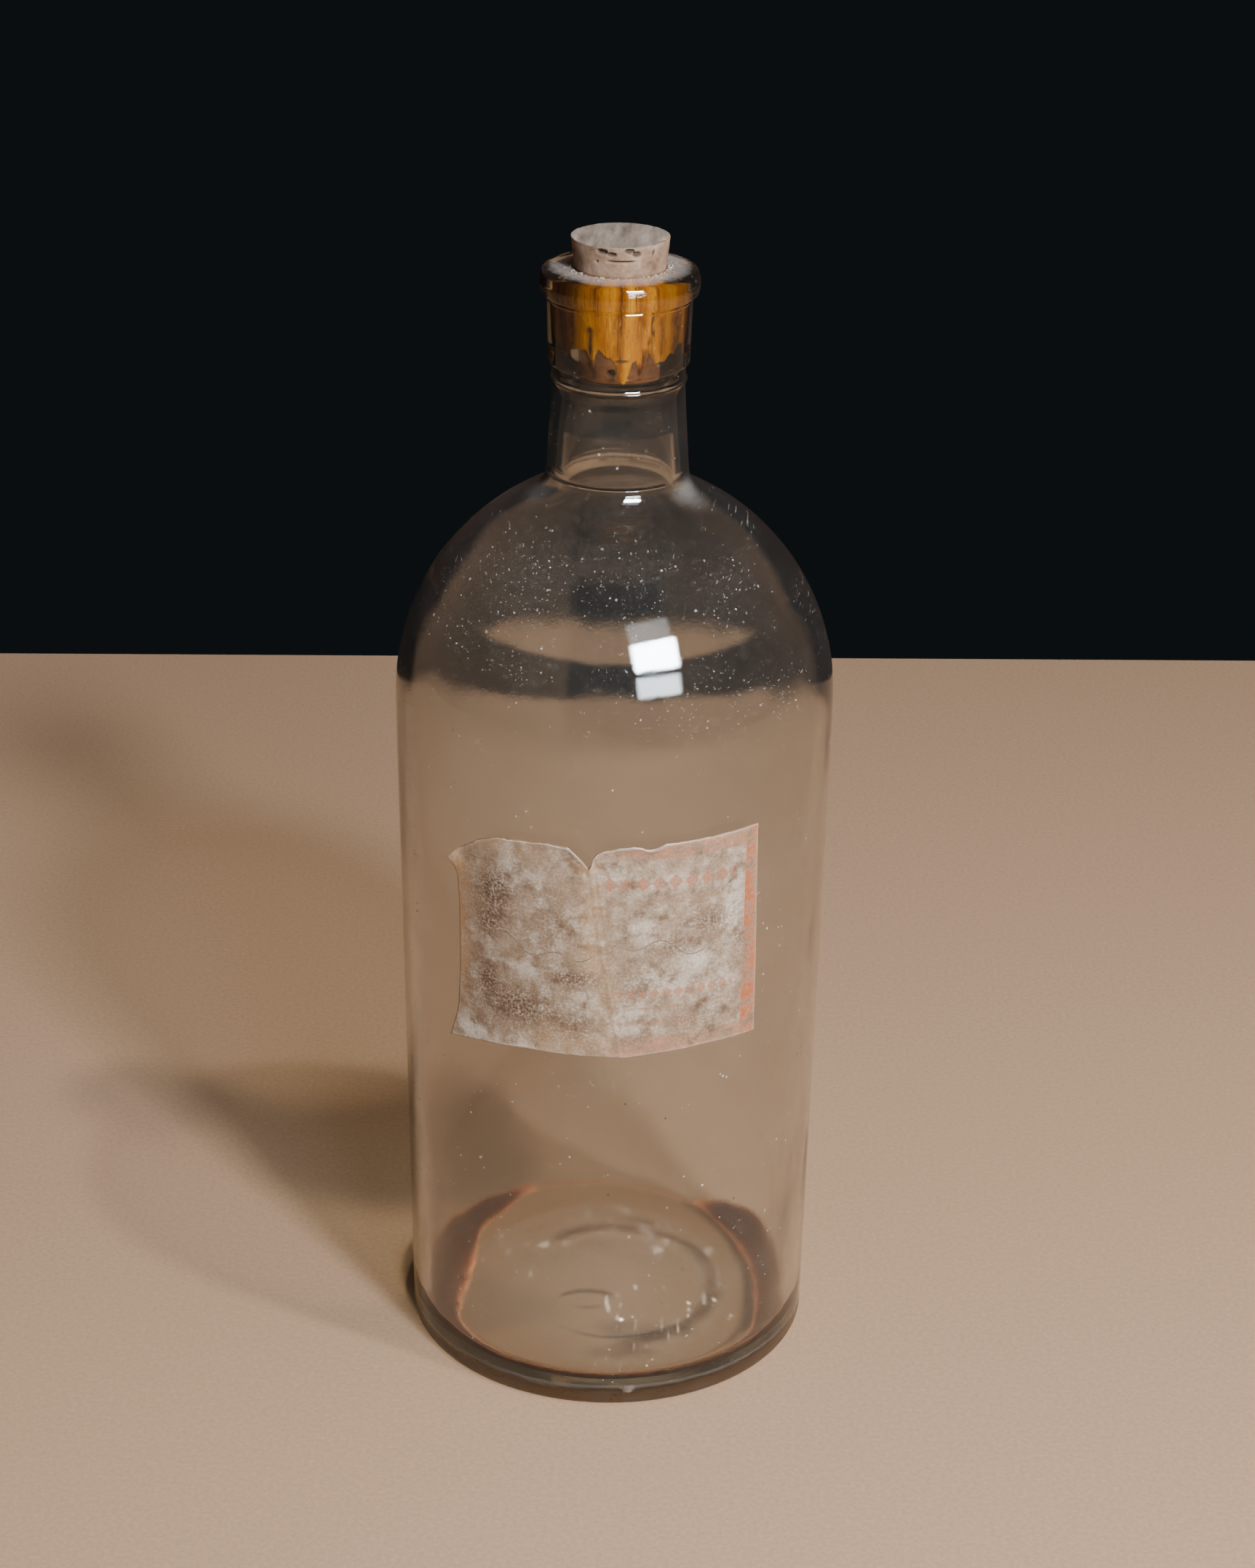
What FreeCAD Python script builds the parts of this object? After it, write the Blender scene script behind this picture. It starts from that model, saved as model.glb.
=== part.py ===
import FreeCAD, Part
import math
import os

import Sketcher

# A half-gallon medicine bottle of clear glass, closed by a taper cork and carrying the worn remains
# of a paper label. Millimetres, +Z up, origin at the centre of the base, the label faces -Y.

SIZES = {
    # outside of the glass: a dip-moulded body that widens a little from the heel to the shoulder
    "heel_radius": 59.5,
    "heel_round": 2.5,
    "shoulder_radius": 62.2,
    "shoulder_height": 202.5,
    "neck_root_radius": 19.8,
    "neck_root_height": 265.3,
    "neck_root_round": 7.5,
    "neck_top_radius": 18.1,
    "collar_height": 300.2,
    "neck_ring_height": 295.9,
    "neck_ring_round": 0.7,
    # finish: a plain collar under a rounded lip
    "collar_radius": 19.4,
    "collar_top_radius": 19.9,
    "lip_height": 318.9,
    "lip_radius": 21.8,
    "lip_bulge_height": 322.6,
    "lip_bulge_round": 4.0,
    "lip_edge_radius": 21.1,
    "rim_height": 326.7,
    "lip_edge_round": 1.1,
    # inside of the glass
    "push_up_radius": 46.0,
    "push_up_height": 4.5,
    "floor_centre_height": 8.8,
    "floor_height": 6.3,
    "floor_radius": 55.4,
    "floor_round": 5.0,
    "inner_shoulder_radius": 58.4,
    "inner_shoulder_height": 202.5,
    "inner_neck_root_radius": 15.6,
    "inner_neck_root_height": 262.0,
    "inner_neck_round": 9.0,
    "inner_neck_radius": 14.6,
    "throat_height": 292.0,
    "bore_bottom_radius": 11.2,
    "bore_bottom_height": 303.0,
    "mouth_radius": 12.46,
    "mouth_round": 0.6,
    # cork: squeezed to the bore below the rim, spread a little above it
    "cork_bottom_height": 297.2,
    "cork_bottom_radius": 10.5,
    "cork_rim_radius": 12.42,
    "cork_top_radius": 13.5,
    "cork_top_height": 335.2,
    "cork_edge": 0.5,
    # what is left of the label, on the front of the body
    "label_bottom_height": 116.5,
    "label_top_height": 183.5,
    "label_width": 95.0,
    "label_thickness": 0.15,
    "paste_thickness": 0.1,
    "paste_margin": 1.0,
    # dried residue lying in the corner of the floor
    "residue_inner_radius": 48.5,
    "residue_outer_radius": 56.5,
    "residue_height": 12.4,
}


def sizes_sheet(doc):
    """The spreadsheet that holds every driving dimension as a plain number with a word for a name."""
    sheet = doc.addObject("Spreadsheet::Sheet", "sizes")
    for row, (alias, value) in enumerate(SIZES.items(), start=1):
        sheet.set(f"A{row}", alias)
        sheet.set(f"B{row}", str(value))
        sheet.setAlias(f"B{row}", alias)
    doc.recompute()
    return sheet


def total(*names):
    """A sum of named sizes as (expression, value); a name with a leading minus is taken away."""
    terms = []
    value = 0.0
    for name in names:
        alias = name.lstrip("-")
        sign = "-" if name.startswith("-") else "+"
        terms.append(f"{sign} sizes.{alias}")
        value += -SIZES[alias] if sign == "-" else SIZES[alias]
    return " ".join(terms).lstrip("+ "), value


def wall_radius(height, *added):
    """Outer radius of the tapered body at a height that is a (expression, value), plus named sizes."""
    height_text, height_value = height
    rise = SIZES["shoulder_radius"] - SIZES["heel_radius"]
    text = (f"sizes.heel_radius + (sizes.shoulder_radius - sizes.heel_radius) * ({height_text})"
            " / sizes.shoulder_height")
    value = SIZES["heel_radius"] + rise * height_value / SIZES["shoulder_height"]
    if added:
        added_text, added_value = total(*added)
        text += f" + {added_text}"
        value += added_value
    return text, value


AXIS = None   # stands for a coordinate of zero: the point lies on the sketch's axis


def new_body(doc, name):
    body = doc.addObject("PartDesign::Body", name)
    body.Label = name
    return body


def half_section(body, name):
    """An empty sketch on the body's own XZ plane: across is the radius, up is the height."""
    plane = next(item for item in body.Origin.OriginFeatures if item.Role == "XZ_Plane")
    sketch = body.newObject("Sketcher::SketchObject", name)
    sketch.AttachmentSupport = [(plane, "")]
    sketch.MapMode = "FlatFace"
    return sketch


def pin_point(sketch, edge, end, radius, height, label):
    """Holds one end of an edge at a radius and a height, each bound to the spreadsheet."""
    vertical_axis = -2
    horizontal_axis = -1
    origin = (-1, 1)
    if radius is AXIS:
        sketch.addConstraint(Sketcher.Constraint("PointOnObject", edge, end, vertical_axis))
    else:
        index = sketch.addConstraint(Sketcher.Constraint("DistanceX", *origin, edge, end, radius[1]))
        sketch.renameConstraint(index, f"{label}_radius")
        sketch.setExpression(f"Constraints.{label}_radius", radius[0])
    if height is AXIS:
        sketch.addConstraint(Sketcher.Constraint("PointOnObject", edge, end, horizontal_axis))
    else:
        index = sketch.addConstraint(Sketcher.Constraint("DistanceY", *origin, edge, end, height[1]))
        sketch.renameConstraint(index, f"{label}_height")
        sketch.setExpression(f"Constraints.{label}_height", height[0])


def closed_outline(sketch, corners, bulges=()):
    """Joins named corners (name, radius, height) into a closed outline.

    bulges lists the corner names from which the outline runs to the next corner as an arc that
    leaves the edge before it smoothly; every other edge is straight.
    """
    def place(corner):
        radius = 0.0 if corner[1] is AXIS else corner[1][1]
        height = 0.0 if corner[2] is AXIS else corner[2][1]
        return FreeCAD.Vector(radius, height, 0)

    ends = []
    for index, corner in enumerate(corners):
        start = place(corner)
        stop = place(corners[(index + 1) % len(corners)])
        if corner[0] in bulges:
            along = start - place(corners[index - 1])
            centre, turns_left = tangent_centre(start, stop, along)
            arc, first, last = arc_between(start, stop, centre, turns_left)
            edge = sketch.addGeometry(arc, False)
            ends.append((edge, first, last))
        else:
            edge = sketch.addGeometry(Part.LineSegment(start, stop), False)
            ends.append((edge, 1, 2))
    for index, corner in enumerate(corners):
        edge, first, last = ends[index]
        edge_before, _, last_before = ends[index - 1]
        if corner[0] in bulges:
            meeting = Sketcher.Constraint("Tangent", edge_before, last_before, edge, first)
            sketch.addConstraint(meeting)
        else:
            meeting = Sketcher.Constraint("Coincident", edge_before, last_before, edge, first)
            sketch.addConstraint(meeting)
        pin_point(sketch, edge, first, corner[1], corner[2], corner[0])


def tangent_centre(start, stop, along):
    """Centre of the circle through start and stop that runs along a direction at start."""
    normal = FreeCAD.Vector(-along.y, along.x, 0).normalize()
    chord = stop - start
    signed_radius = chord.Length ** 2 / (2 * chord.dot(normal))
    return start + normal * signed_radius, signed_radius > 0


def arc_between(start, stop, centre, turns_left):
    """The arc from start to stop, and which of its ends, 1 or 2, is start and which is stop."""
    circle = Part.Circle(centre, FreeCAD.Vector(0, 0, 1), (start - centre).Length)
    start_angle = math.atan2(start.y - centre.y, start.x - centre.x)
    stop_angle = math.atan2(stop.y - centre.y, stop.x - centre.x)
    if turns_left:
        return Part.ArcOfCircle(circle, start_angle, stop_angle), 1, 2
    return Part.ArcOfCircle(circle, stop_angle, start_angle), 2, 1


def turn(body, sketch, kind, name, angle=None):
    """Revolves a half section about the upright axis, adding (Revolution) or cutting (Groove)."""
    before = body.Shape.Volume if not body.Shape.isNull() else 0.0
    feature = body.newObject(f"PartDesign::{kind}", name)
    feature.Profile = sketch
    feature.ReferenceAxis = (sketch, ["V_Axis"])
    feature.Angle = 360
    if angle:
        feature.Midplane = True
        feature.setExpression("Angle", angle)
    body.Document.recompute()
    if kind == "Groove" and body.Shape.Volume > before - 1.0:
        raise RuntimeError(f"{name} cuts nothing")
    if kind == "Revolution" and body.Shape.Volume < before + 1.0:
        raise RuntimeError(f"{name} adds nothing")
    return feature


def round_rim(body, name, radius_alias, picks):
    """Fillets the circular edges nearest to each (radius, height) in picks."""
    base = body.Tip
    names = []
    for radius, height in picks:
        misses = []
        for index, edge in enumerate(base.Shape.Edges, start=1):
            if isinstance(edge.Curve, Part.Circle) and edge.isClosed():
                miss = math.hypot(edge.Curve.Radius - radius, edge.Curve.Center.z - height)
                misses.append((miss, f"Edge{index}"))
        nearest = min(misses)
        if nearest[0] > 0.01:
            raise RuntimeError(f"{name} finds no edge at radius {radius}, height {height}")
        names.append(nearest[1])
    fillet = body.newObject("PartDesign::Fillet", name)
    fillet.Base = (base, names)
    fillet.setExpression("Radius", f"sizes.{radius_alias}")
    body.Document.recompute()
    return fillet


def sketch_circle(sketch, centre, radius_alias):
    """A circle in a sketch with its radius bound to a named size; its centre is still free."""
    circle = Part.Circle(centre, FreeCAD.Vector(0, 0, 1), SIZES[radius_alias])
    edge = sketch.addGeometry(circle, False)
    index = sketch.addConstraint(Sketcher.Constraint("Radius", edge, SIZES[radius_alias]))
    sketch.renameConstraint(index, radius_alias)
    sketch.setExpression(f"Constraints.{radius_alias}", f"sizes.{radius_alias}")
    return edge


def glass_bottle(doc):
    body = new_body(doc, "glass_bottle")

    outside = half_section(body, "outside_outline")
    closed_outline(outside, [
        ("base_centre", AXIS, AXIS),
        ("heel", total("heel_radius"), AXIS),
        ("shoulder", total("shoulder_radius"), total("shoulder_height")),
        ("neck_root", total("neck_root_radius"), total("neck_root_height")),
        ("neck_top", total("neck_top_radius"), total("collar_height")),
        ("neck_centre", AXIS, total("collar_height")),
    ], bulges=("shoulder",))
    turn(body, outside, "Revolution", "body_and_neck")
    round_rim(body, "neck_root_fillet", "neck_root_round",
              [(SIZES["neck_root_radius"], SIZES["neck_root_height"])])
    round_rim(body, "heel_fillet", "heel_round", [(SIZES["heel_radius"], 0.0)])

    finish = half_section(body, "finish_outline")
    closed_outline(finish, [
        ("collar_foot_centre", AXIS, total("collar_height")),
        ("collar_foot", total("collar_radius"), total("collar_height")),
        ("collar_top", total("collar_top_radius"), total("lip_height")),
        ("lip_bulge", total("lip_radius"), total("lip_bulge_height")),
        ("lip_edge", total("lip_edge_radius"), total("rim_height")),
        ("rim_centre", AXIS, total("rim_height")),
    ])
    turn(body, finish, "Revolution", "collar_and_lip")
    round_rim(body, "lip_bulge_fillet", "lip_bulge_round",
              [(SIZES["lip_radius"], SIZES["lip_bulge_height"])])
    round_rim(body, "lip_edge_fillet", "lip_edge_round",
              [(SIZES["lip_edge_radius"], SIZES["rim_height"])])

    ring = half_section(body, "neck_ring_outline")
    climb = SIZES["neck_ring_height"] - SIZES["neck_root_height"]
    share = climb / (SIZES["collar_height"] - SIZES["neck_root_height"])
    neck_loss = SIZES["neck_root_radius"] - SIZES["neck_top_radius"]
    ring_radius = (
        "sizes.neck_root_radius - (sizes.neck_root_radius - sizes.neck_top_radius)"
        " * (sizes.neck_ring_height - sizes.neck_root_height)"
        " / (sizes.collar_height - sizes.neck_root_height)",
        SIZES["neck_root_radius"] - neck_loss * share,
    )
    centre = FreeCAD.Vector(ring_radius[1], SIZES["neck_ring_height"], 0)
    bead = sketch_circle(ring, centre, "neck_ring_round")
    pin_point(ring, bead, 3, ring_radius, total("neck_ring_height"), "ring")
    turn(body, ring, "Revolution", "neck_ring")

    push_up = half_section(body, "push_up_outline")
    closed_outline(push_up, [
        ("push_up_centre", AXIS, AXIS),
        ("push_up_edge", total("push_up_radius"), AXIS),
        ("push_up_top", AXIS, total("push_up_height")),
    ])
    turn(body, push_up, "Groove", "push_up")

    inside = half_section(body, "inside_outline")
    closed_outline(inside, [
        ("floor_centre", AXIS, total("floor_centre_height")),
        ("floor_edge", total("floor_radius"), total("floor_height")),
        ("inner_shoulder", total("inner_shoulder_radius"), total("inner_shoulder_height")),
        ("inner_neck_root", total("inner_neck_root_radius"), total("inner_neck_root_height")),
        ("throat", total("inner_neck_radius"), total("throat_height")),
        ("bore_bottom", total("bore_bottom_radius"), total("bore_bottom_height")),
        ("mouth", total("mouth_radius"), total("rim_height")),
        ("mouth_centre", AXIS, total("rim_height")),
    ], bulges=("inner_shoulder",))
    turn(body, inside, "Groove", "cavity")
    round_rim(body, "floor_fillet", "floor_round", [(SIZES["floor_radius"], SIZES["floor_height"])])
    round_rim(body, "inner_neck_fillet", "inner_neck_round",
              [(SIZES["inner_neck_root_radius"], SIZES["inner_neck_root_height"])])
    round_rim(body, "mouth_fillet", "mouth_round", [(SIZES["mouth_radius"], SIZES["rim_height"])])
    return body


def cork_stopper(doc):
    body = new_body(doc, "cork_stopper")
    outline = half_section(body, "cork_outline")
    closed_outline(outline, [
        ("cork_bottom_centre", AXIS, total("cork_bottom_height")),
        ("cork_bottom", total("cork_bottom_radius"), total("cork_bottom_height")),
        ("cork_rim", total("cork_rim_radius"), total("rim_height")),
        ("cork_top", total("cork_top_radius"), total("cork_top_height")),
        ("cork_top_centre", AXIS, total("cork_top_height")),
    ])
    turn(body, outline, "Revolution", "cork")
    cork = body.Tip
    edges = []
    for index, edge in enumerate(cork.Shape.Edges, start=1):
        at_an_end = edge.BoundBox.ZLength < 0.01 and abs(edge.BoundBox.ZMin - SIZES["rim_height"]) > 1
        if edge.isClosed() and at_an_end:
            edges.append(f"Edge{index}")
    chamfer = body.newObject("PartDesign::Chamfer", "cork_edges")
    chamfer.Base = (cork, edges)
    chamfer.setExpression("Size", "sizes.cork_edge")
    return body


def wrapped_sheet(doc, name, under, thickness, low, high, width):
    """A thin sheet wrapped on the tapered body: under lists what lies between it and the glass."""
    body = new_body(doc, name)
    outline = half_section(body, f"{name}_outline")
    closed_outline(outline, [
        ("low_inner", wall_radius(low, *under), low),
        ("low_outer", wall_radius(low, *under, thickness), low),
        ("high_outer", wall_radius(high, *under, thickness), high),
        ("high_inner", wall_radius(high, *under), high),
    ])
    angle = f"({width}) / sizes.shoulder_radius * 180 / pi"
    turn(body, outline, "Revolution", f"{name}_wrap", angle)
    body.Placement = FreeCAD.Placement(FreeCAD.Vector(), FreeCAD.Rotation(FreeCAD.Vector(0, 0, 1), -90))
    return body


def label_paste(doc):
    low = total("label_bottom_height", "-paste_margin")
    high = total("label_top_height", "paste_margin")
    width = "sizes.label_width + 2 * sizes.paste_margin"
    return wrapped_sheet(doc, "label_paste", (), "paste_thickness", low, high, width)


def paper_label(doc):
    low = total("label_bottom_height")
    high = total("label_top_height")
    under = ("paste_thickness",)
    return wrapped_sheet(doc, "paper_label", under, "label_thickness", low, high, "sizes.label_width")


def dried_residue(doc, bottle):
    """A crust in the rounded corner between floor and wall: a wedge ring less the glass it meets."""
    wedge = new_body(doc, "residue_wedge")
    outline = half_section(wedge, "wedge_outline")
    closed_outline(outline, [
        ("tip", total("residue_inner_radius"), total("floor_height")),
        ("corner", total("residue_outer_radius"), total("floor_height")),
        ("top", total("residue_outer_radius"), total("residue_height")),
    ])
    turn(wedge, outline, "Revolution", "wedge_ring")
    crust = doc.addObject("Part::Cut", "dried_residue")
    crust.Base = wedge
    crust.Tool = bottle
    crust.Label = "dried_residue"
    crust.Placement = FreeCAD.Placement()
    doc.recompute()
    return crust


def check_document(doc, pieces):
    """Stops if any object failed to recompute or any piece is not one valid solid."""
    doc.recompute()
    for item in doc.Objects:
        if "Invalid" in item.State or "Error" in item.State:
            raise RuntimeError(f"{item.Name} failed: {item.State}")
    for piece in pieces:
        shape = piece.Shape
        if shape.isNull() or not shape.isValid() or len(shape.Solids) != 1:
            raise RuntimeError(f"{piece.Label} is not one valid solid")


def space_below_cork(bottle):
    """The solid of what the bottle encloses up to the bottom of the cork."""
    beyond_the_wall = SIZES["shoulder_radius"] + SIZES["heel_round"]
    up_to_cork = Part.makeCylinder(beyond_the_wall, SIZES["cork_bottom_height"])
    inside_point = FreeCAD.Vector(0, 0, SIZES["shoulder_height"])
    for space in up_to_cork.cut(bottle).Solids:
        if space.isInside(inside_point, 0.1, False):
            return space
    raise RuntimeError("the bottle encloses nothing")


def print_fits(pieces):
    """Prints each piece's size, what the bottle holds and how the cork clears the bore."""
    for name, piece in pieces.items():
        box = piece.Shape.BoundBox
        print(f"{name}: {box.XLength:.2f} x {box.YLength:.2f} x {box.ZLength:.2f} mm,"
              f" z {box.ZMin:.2f} to {box.ZMax:.2f}, {piece.Shape.Volume / 1000:.1f} ml")
    bottle = pieces["glass_bottle"].Shape
    cavity = space_below_cork(bottle).Volume
    print(f"holds {cavity / 1000:.0f} ml below the cork")
    gap = bottle.distToShape(pieces["cork_stopper"].Shape)[0]
    print(f"least gap between cork and glass: {gap:.3f} mm")
    names = list(pieces)
    for index, name in enumerate(names):
        for other in names[index + 1:]:
            overlap = pieces[name].Shape.common(pieces[other].Shape).Volume
            print(f"overlap {name} / {other}: {overlap:.4f} mm3")


def main():
    doc = FreeCAD.newDocument("medicine_bottle")
    sizes_sheet(doc)
    bottle = glass_bottle(doc)
    pieces = {
        "glass_bottle": bottle,
        "cork_stopper": cork_stopper(doc),
        "label_paste": label_paste(doc),
        "paper_label": paper_label(doc),
        "dried_residue": dried_residue(doc, bottle),
    }
    check_document(doc, pieces.values())
    print_fits(pieces)
    os.makedirs("parts", exist_ok=True)
    for piece in pieces.values():
        piece.Shape.exportStep(f"parts/{piece.Label}.step")


main()
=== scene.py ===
import itertools
import math

import bpy
import numpy as np
from mathutils import Matrix, Vector


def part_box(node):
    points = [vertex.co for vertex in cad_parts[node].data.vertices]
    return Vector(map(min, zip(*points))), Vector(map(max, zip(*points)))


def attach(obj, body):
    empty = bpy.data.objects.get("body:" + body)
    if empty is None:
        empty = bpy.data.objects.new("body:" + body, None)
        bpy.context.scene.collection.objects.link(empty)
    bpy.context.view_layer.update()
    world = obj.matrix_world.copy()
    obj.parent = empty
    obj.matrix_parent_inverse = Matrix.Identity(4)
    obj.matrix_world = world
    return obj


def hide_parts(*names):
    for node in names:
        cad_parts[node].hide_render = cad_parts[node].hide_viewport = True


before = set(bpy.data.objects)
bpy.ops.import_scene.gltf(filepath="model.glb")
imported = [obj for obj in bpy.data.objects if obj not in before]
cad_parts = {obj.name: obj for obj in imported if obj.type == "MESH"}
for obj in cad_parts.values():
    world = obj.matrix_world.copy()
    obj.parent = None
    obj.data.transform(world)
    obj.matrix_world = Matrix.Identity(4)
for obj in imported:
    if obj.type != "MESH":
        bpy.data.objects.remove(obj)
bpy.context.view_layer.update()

# The looks of a tall corked medicine bottle: glass with dust and seeds, a stained cork, a torn label
# and the dried crust on the floor. Metres; sizes below are written in millimetres and scaled by MM.

MM = 0.001

GLASS_BODY = "bottle"
CORK_BODY = "cork"

# The glass, in millimetres. These follow the CAD bottle, whose height and width are read from it.
bottle_low, bottle_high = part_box("glass_bottle")
cork_low, cork_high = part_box("cork_stopper")
RIM = bottle_high[2] / MM
SHOULDER_RADIUS = bottle_high[0] / MM
HEEL_RADIUS = 59.5
SHOULDER_HEIGHT = 202.5
CORK_FOOT = cork_low[2] / MM
CORK_TOP = cork_high[2] / MM
CORK_TOP_RADIUS = cork_high[0] / MM
CORK_RIM_RADIUS = 12.42
CORK_FOOT_RADIUS = 10.5
CORK_EDGE = 0.55
CORK_BULGE = 0.06
PRESSED_FOOT = 306.4
BORE_FOOT_HEIGHT = 303
NECK_TOP_RADIUS = 18.1
NECK_RING_FOOT = 293.4
NECK_RING_TOP = 298.4
BORE_FOOT_RADIUS = 11.2
MOUTH_RADIUS = 12.46
HEEL_ROUND = 2.5
FLOOR_EDGE_HEIGHT = 6.3
FLOOR_CENTRE_HEIGHT = 8.8
FLOOR_RADIUS = 55.4
FLOOR_ROUND = 5
INNER_SHOULDER_RADIUS = 58.4
RIDGE_PROFILE = ((140, 0), (222, 1.3), (232, 1.95), (250.5, 0.05), (257, 0))
PUSH_UP_RADIUS = 46
PUSH_UP_HEIGHT = 4.5
PUSH_UP_ROWS = 64


# -------- shared mathematics

NOISE_TABLE = 4096


def lattice_noise(points, per_mm, seed):
    """Smooth noise from -1 to 1 at each row of an (n, 3) array in millimetres."""
    table = np.random.default_rng(seed).uniform(-1, 1, NOISE_TABLE)
    place = points * per_mm + 31.7 * (seed + 1)
    cell = np.floor(place).astype(np.int64)
    part = place - cell
    ease = part * part * (3 - 2 * part)
    value = np.zeros(len(points))
    for corner in itertools.product((0, 1), repeat=3):
        key = ((cell[:, 0] + corner[0]) * 73856093) ^ ((cell[:, 1] + corner[1]) * 19349663)
        key = key ^ ((cell[:, 2] + corner[2]) * 83492791)
        weight = np.prod(np.where(np.array(corner) == 1, ease, 1 - ease), axis=1)
        value += table[key & (NOISE_TABLE - 1)] * weight
    return value


def layered_noise(points, per_mm, seed, layers=3):
    """Noise summed over layers, each twice as fine and half as strong as the one before."""
    total = sum(lattice_noise(points, per_mm * 2 ** k, seed + k) / 2 ** k for k in range(layers))
    return total / (2 - 2 ** (1 - layers))


def smooth_step(value, start, stop):
    part = np.clip((value - start) / (stop - start), 0, 1)
    return part * part * (3 - 2 * part)


def facing(points):
    """Angle of each point about the bottle's axis in degrees, 0 at the label's middle, + to +X."""
    return np.degrees(np.arctan2(points[:, 0], -points[:, 1]))


def turn_apart(angle, middle):
    """Difference of two angles in degrees, from -180 to 180."""
    return (angle - middle + 180) % 360 - 180


def bell(away, width):
    """1 where away is 0, falling off smoothly on both sides."""
    return np.exp(-(away / width) ** 2)


def from_edge(away, width):
    """1 at an edge and outside it, falling off inwards."""
    return np.exp(-np.maximum(away, 0) / width)


def spot(points, centre, reach):
    """1 at a centre, falling off to 0 as a bell; reach may be one size or one per axis."""
    away = (points - centre) / reach
    return np.exp(-np.sum(away * away, axis=1))


# -------- outlines as (radius, height) rows

def line(start, stop, count):
    share = np.linspace(0, 1, count, endpoint=False)[:, None]
    return np.array(start) + share * (np.array(stop) - np.array(start))


def arc(centre, radius, start_degrees, stop_degrees, count):
    angle = np.radians(np.linspace(start_degrees, stop_degrees, count, endpoint=False))
    return np.stack([centre[0] + radius * np.cos(angle), centre[1] + radius * np.sin(angle)], axis=1)


def rounded(corners, spacing):
    """A run through corners (radius, height, rounding), each rounded by an arc; ends stay sharp."""
    pieces = []
    places = [np.array(corner[:2]) for corner in corners]
    at = places[0]
    for index in range(1, len(corners)):
        corner, radius = places[index], corners[index][2]
        if index + 1 < len(corners) and radius > 0:
            into, out = corner - places[index - 1], places[index + 1] - corner
            into, out = into / np.linalg.norm(into), out / np.linalg.norm(out)
            turn = math.atan2(np.cross(into, out), np.dot(into, out))
            cut = radius * math.tan(abs(turn) / 2)
            start = corner - into * cut
            normal = np.array([-into[1], into[0]]) * math.copysign(1, turn)
            centre = start + normal * radius
            first = math.degrees(math.atan2(*(start - centre)[::-1]))
            pieces.append(line(at, start, max(1, round(np.linalg.norm(start - at) / spacing))))
            steps = max(4, round(radius * abs(turn) / (spacing * 0.6)))
            pieces.append(arc(centre, radius, first, first + math.degrees(turn), steps))
            at = corner + out * cut
        else:
            pieces.append(line(at, corner, max(1, round(np.linalg.norm(corner - at) / spacing))))
            at = corner
    pieces.append(at[None, :])
    return np.concatenate(pieces)


def dome(foot, radius, neck_radius, fillet, neck_lean, steps):
    """From foot up an arc, then a reversed arc to a neck that leans in by neck_lean degrees."""
    flare_of_wall = math.degrees(math.atan2(SHOULDER_RADIUS - HEEL_RADIUS, SHOULDER_HEIGHT))
    tilt = math.radians(flare_of_wall)
    centre = np.array([foot[0] - radius * math.cos(tilt), foot[1] + radius * math.sin(tilt)])
    across = neck_radius + fillet - centre[0]
    climb = math.sqrt((radius + fillet) ** 2 - across ** 2)
    lean = math.degrees(math.atan2(climb, across))
    rise = arc(centre, radius, -flare_of_wall, lean, steps)
    flare = arc((neck_radius + fillet, centre[1] + climb), fillet, 180 + lean, 180 + neck_lean, steps // 2)
    return np.concatenate([rise, flare])


def outer_wall_radius(height):
    spread = SHOULDER_RADIUS - HEEL_RADIUS
    return HEEL_RADIUS + spread * np.minimum(height, SHOULDER_HEIGHT) / SHOULDER_HEIGHT


def bore_radius(height):
    share = (height - BORE_FOOT_HEIGHT) / (RIM - BORE_FOOT_HEIGHT)
    return BORE_FOOT_RADIUS + (MOUTH_RADIUS - BORE_FOOT_RADIUS) * share


def outside_outline():
    """From the middle of the underside round the heel and up to the lip's upper edge."""
    across = np.linspace(0, PUSH_UP_RADIUS, PUSH_UP_ROWS, endpoint=False)
    rise = PUSH_UP_HEIGHT * np.cos(across / PUSH_UP_RADIUS * math.pi / 2) ** 1.3
    under = np.stack([across, rise], axis=1)
    heel = np.concatenate([
        line((PUSH_UP_RADIUS, 0), (HEEL_RADIUS - HEEL_ROUND, 0), 8),
        arc((HEEL_RADIUS - HEEL_ROUND, HEEL_ROUND), HEEL_ROUND, -90, 0, 10),
    ])
    wall = line((outer_wall_radius(HEEL_ROUND), HEEL_ROUND), (SHOULDER_RADIUS, SHOULDER_HEIGHT), 80)
    shoulder = dome((SHOULDER_RADIUS, SHOULDER_HEIGHT), 66.4, 19.75, 7.5, 3.6, 54)
    neck = line(shoulder[-1], (NECK_TOP_RADIUS + 0.12, NECK_RING_FOOT), 22)
    ring_heights = np.linspace(NECK_RING_FOOT, NECK_RING_TOP, 26, endpoint=False)
    ring = np.stack([NECK_TOP_RADIUS + 0.1 + 0.62 * bell(ring_heights - 295.9, 0.62),
                     ring_heights], axis=1)
    finish = rounded([
        (NECK_TOP_RADIUS + 0.05, NECK_RING_TOP, 0),
        (NECK_TOP_RADIUS, 300.2, 0.5),
        (19.35, 300.5, 0.7),
        (19.85, 318, 0.25),
        (20.15, 318.5, 0.25),
        (19.9, 319, 0.25),
        (21.35, 319.8, 0.7),
        (21.95, 322.9, 2.6),
        (21.2, 326.2, 1.5),
        (18.6, RIM, 3),
        (MOUTH_RADIUS, RIM - 0.1, 0.7),
        (bore_radius(RIM - 2), RIM - 2, 0),
    ], 0.42)
    return np.concatenate([under, heel, wall, shoulder, neck, ring, finish])


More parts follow.
